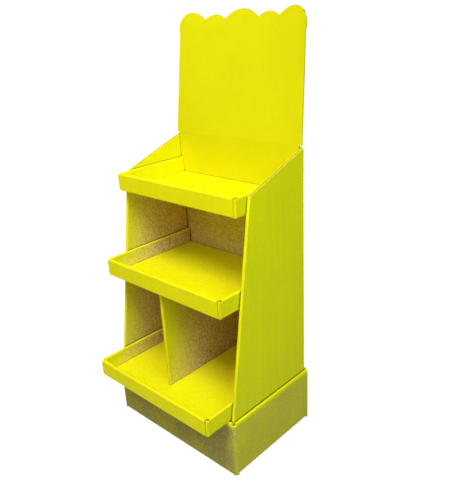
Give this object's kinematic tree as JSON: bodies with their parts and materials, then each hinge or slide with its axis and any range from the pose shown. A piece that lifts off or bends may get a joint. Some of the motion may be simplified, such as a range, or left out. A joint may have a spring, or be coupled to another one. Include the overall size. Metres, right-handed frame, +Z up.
{
  "type": "cardboard display stand",
  "caption": "Free-standing yellow corrugated card floor stand with rolled-edge trays in tiers, a divider, a plinth and a lobed header card.",
  "frame": {"origin": "centre of the plinth's underside, on the floor", "axes": "+Z up, -Y towards the front, +X to the right of somebody facing the front"},
  "size_m": [0.6, 0.5563, 1.436],
  "materials": {
    "yellow_board": "yellow printed liner on corrugated board, matt",
    "plain_board": "plain brown kraft corrugated board, matt"
  },
  "bodies": {
    "root": {"plinth_tray": "yellow_board", "body_shell": "yellow_board", "bottom_tray": "yellow_board", "middle_tray": "yellow_board", "top_tray": "yellow_board", "divider": "yellow_board", "header_card": "yellow_board", "base_rib_long": "plain_board", "base_rib_cross_left": "plain_board", "base_rib_cross_right": "plain_board"}
  },
  "joints": []
}
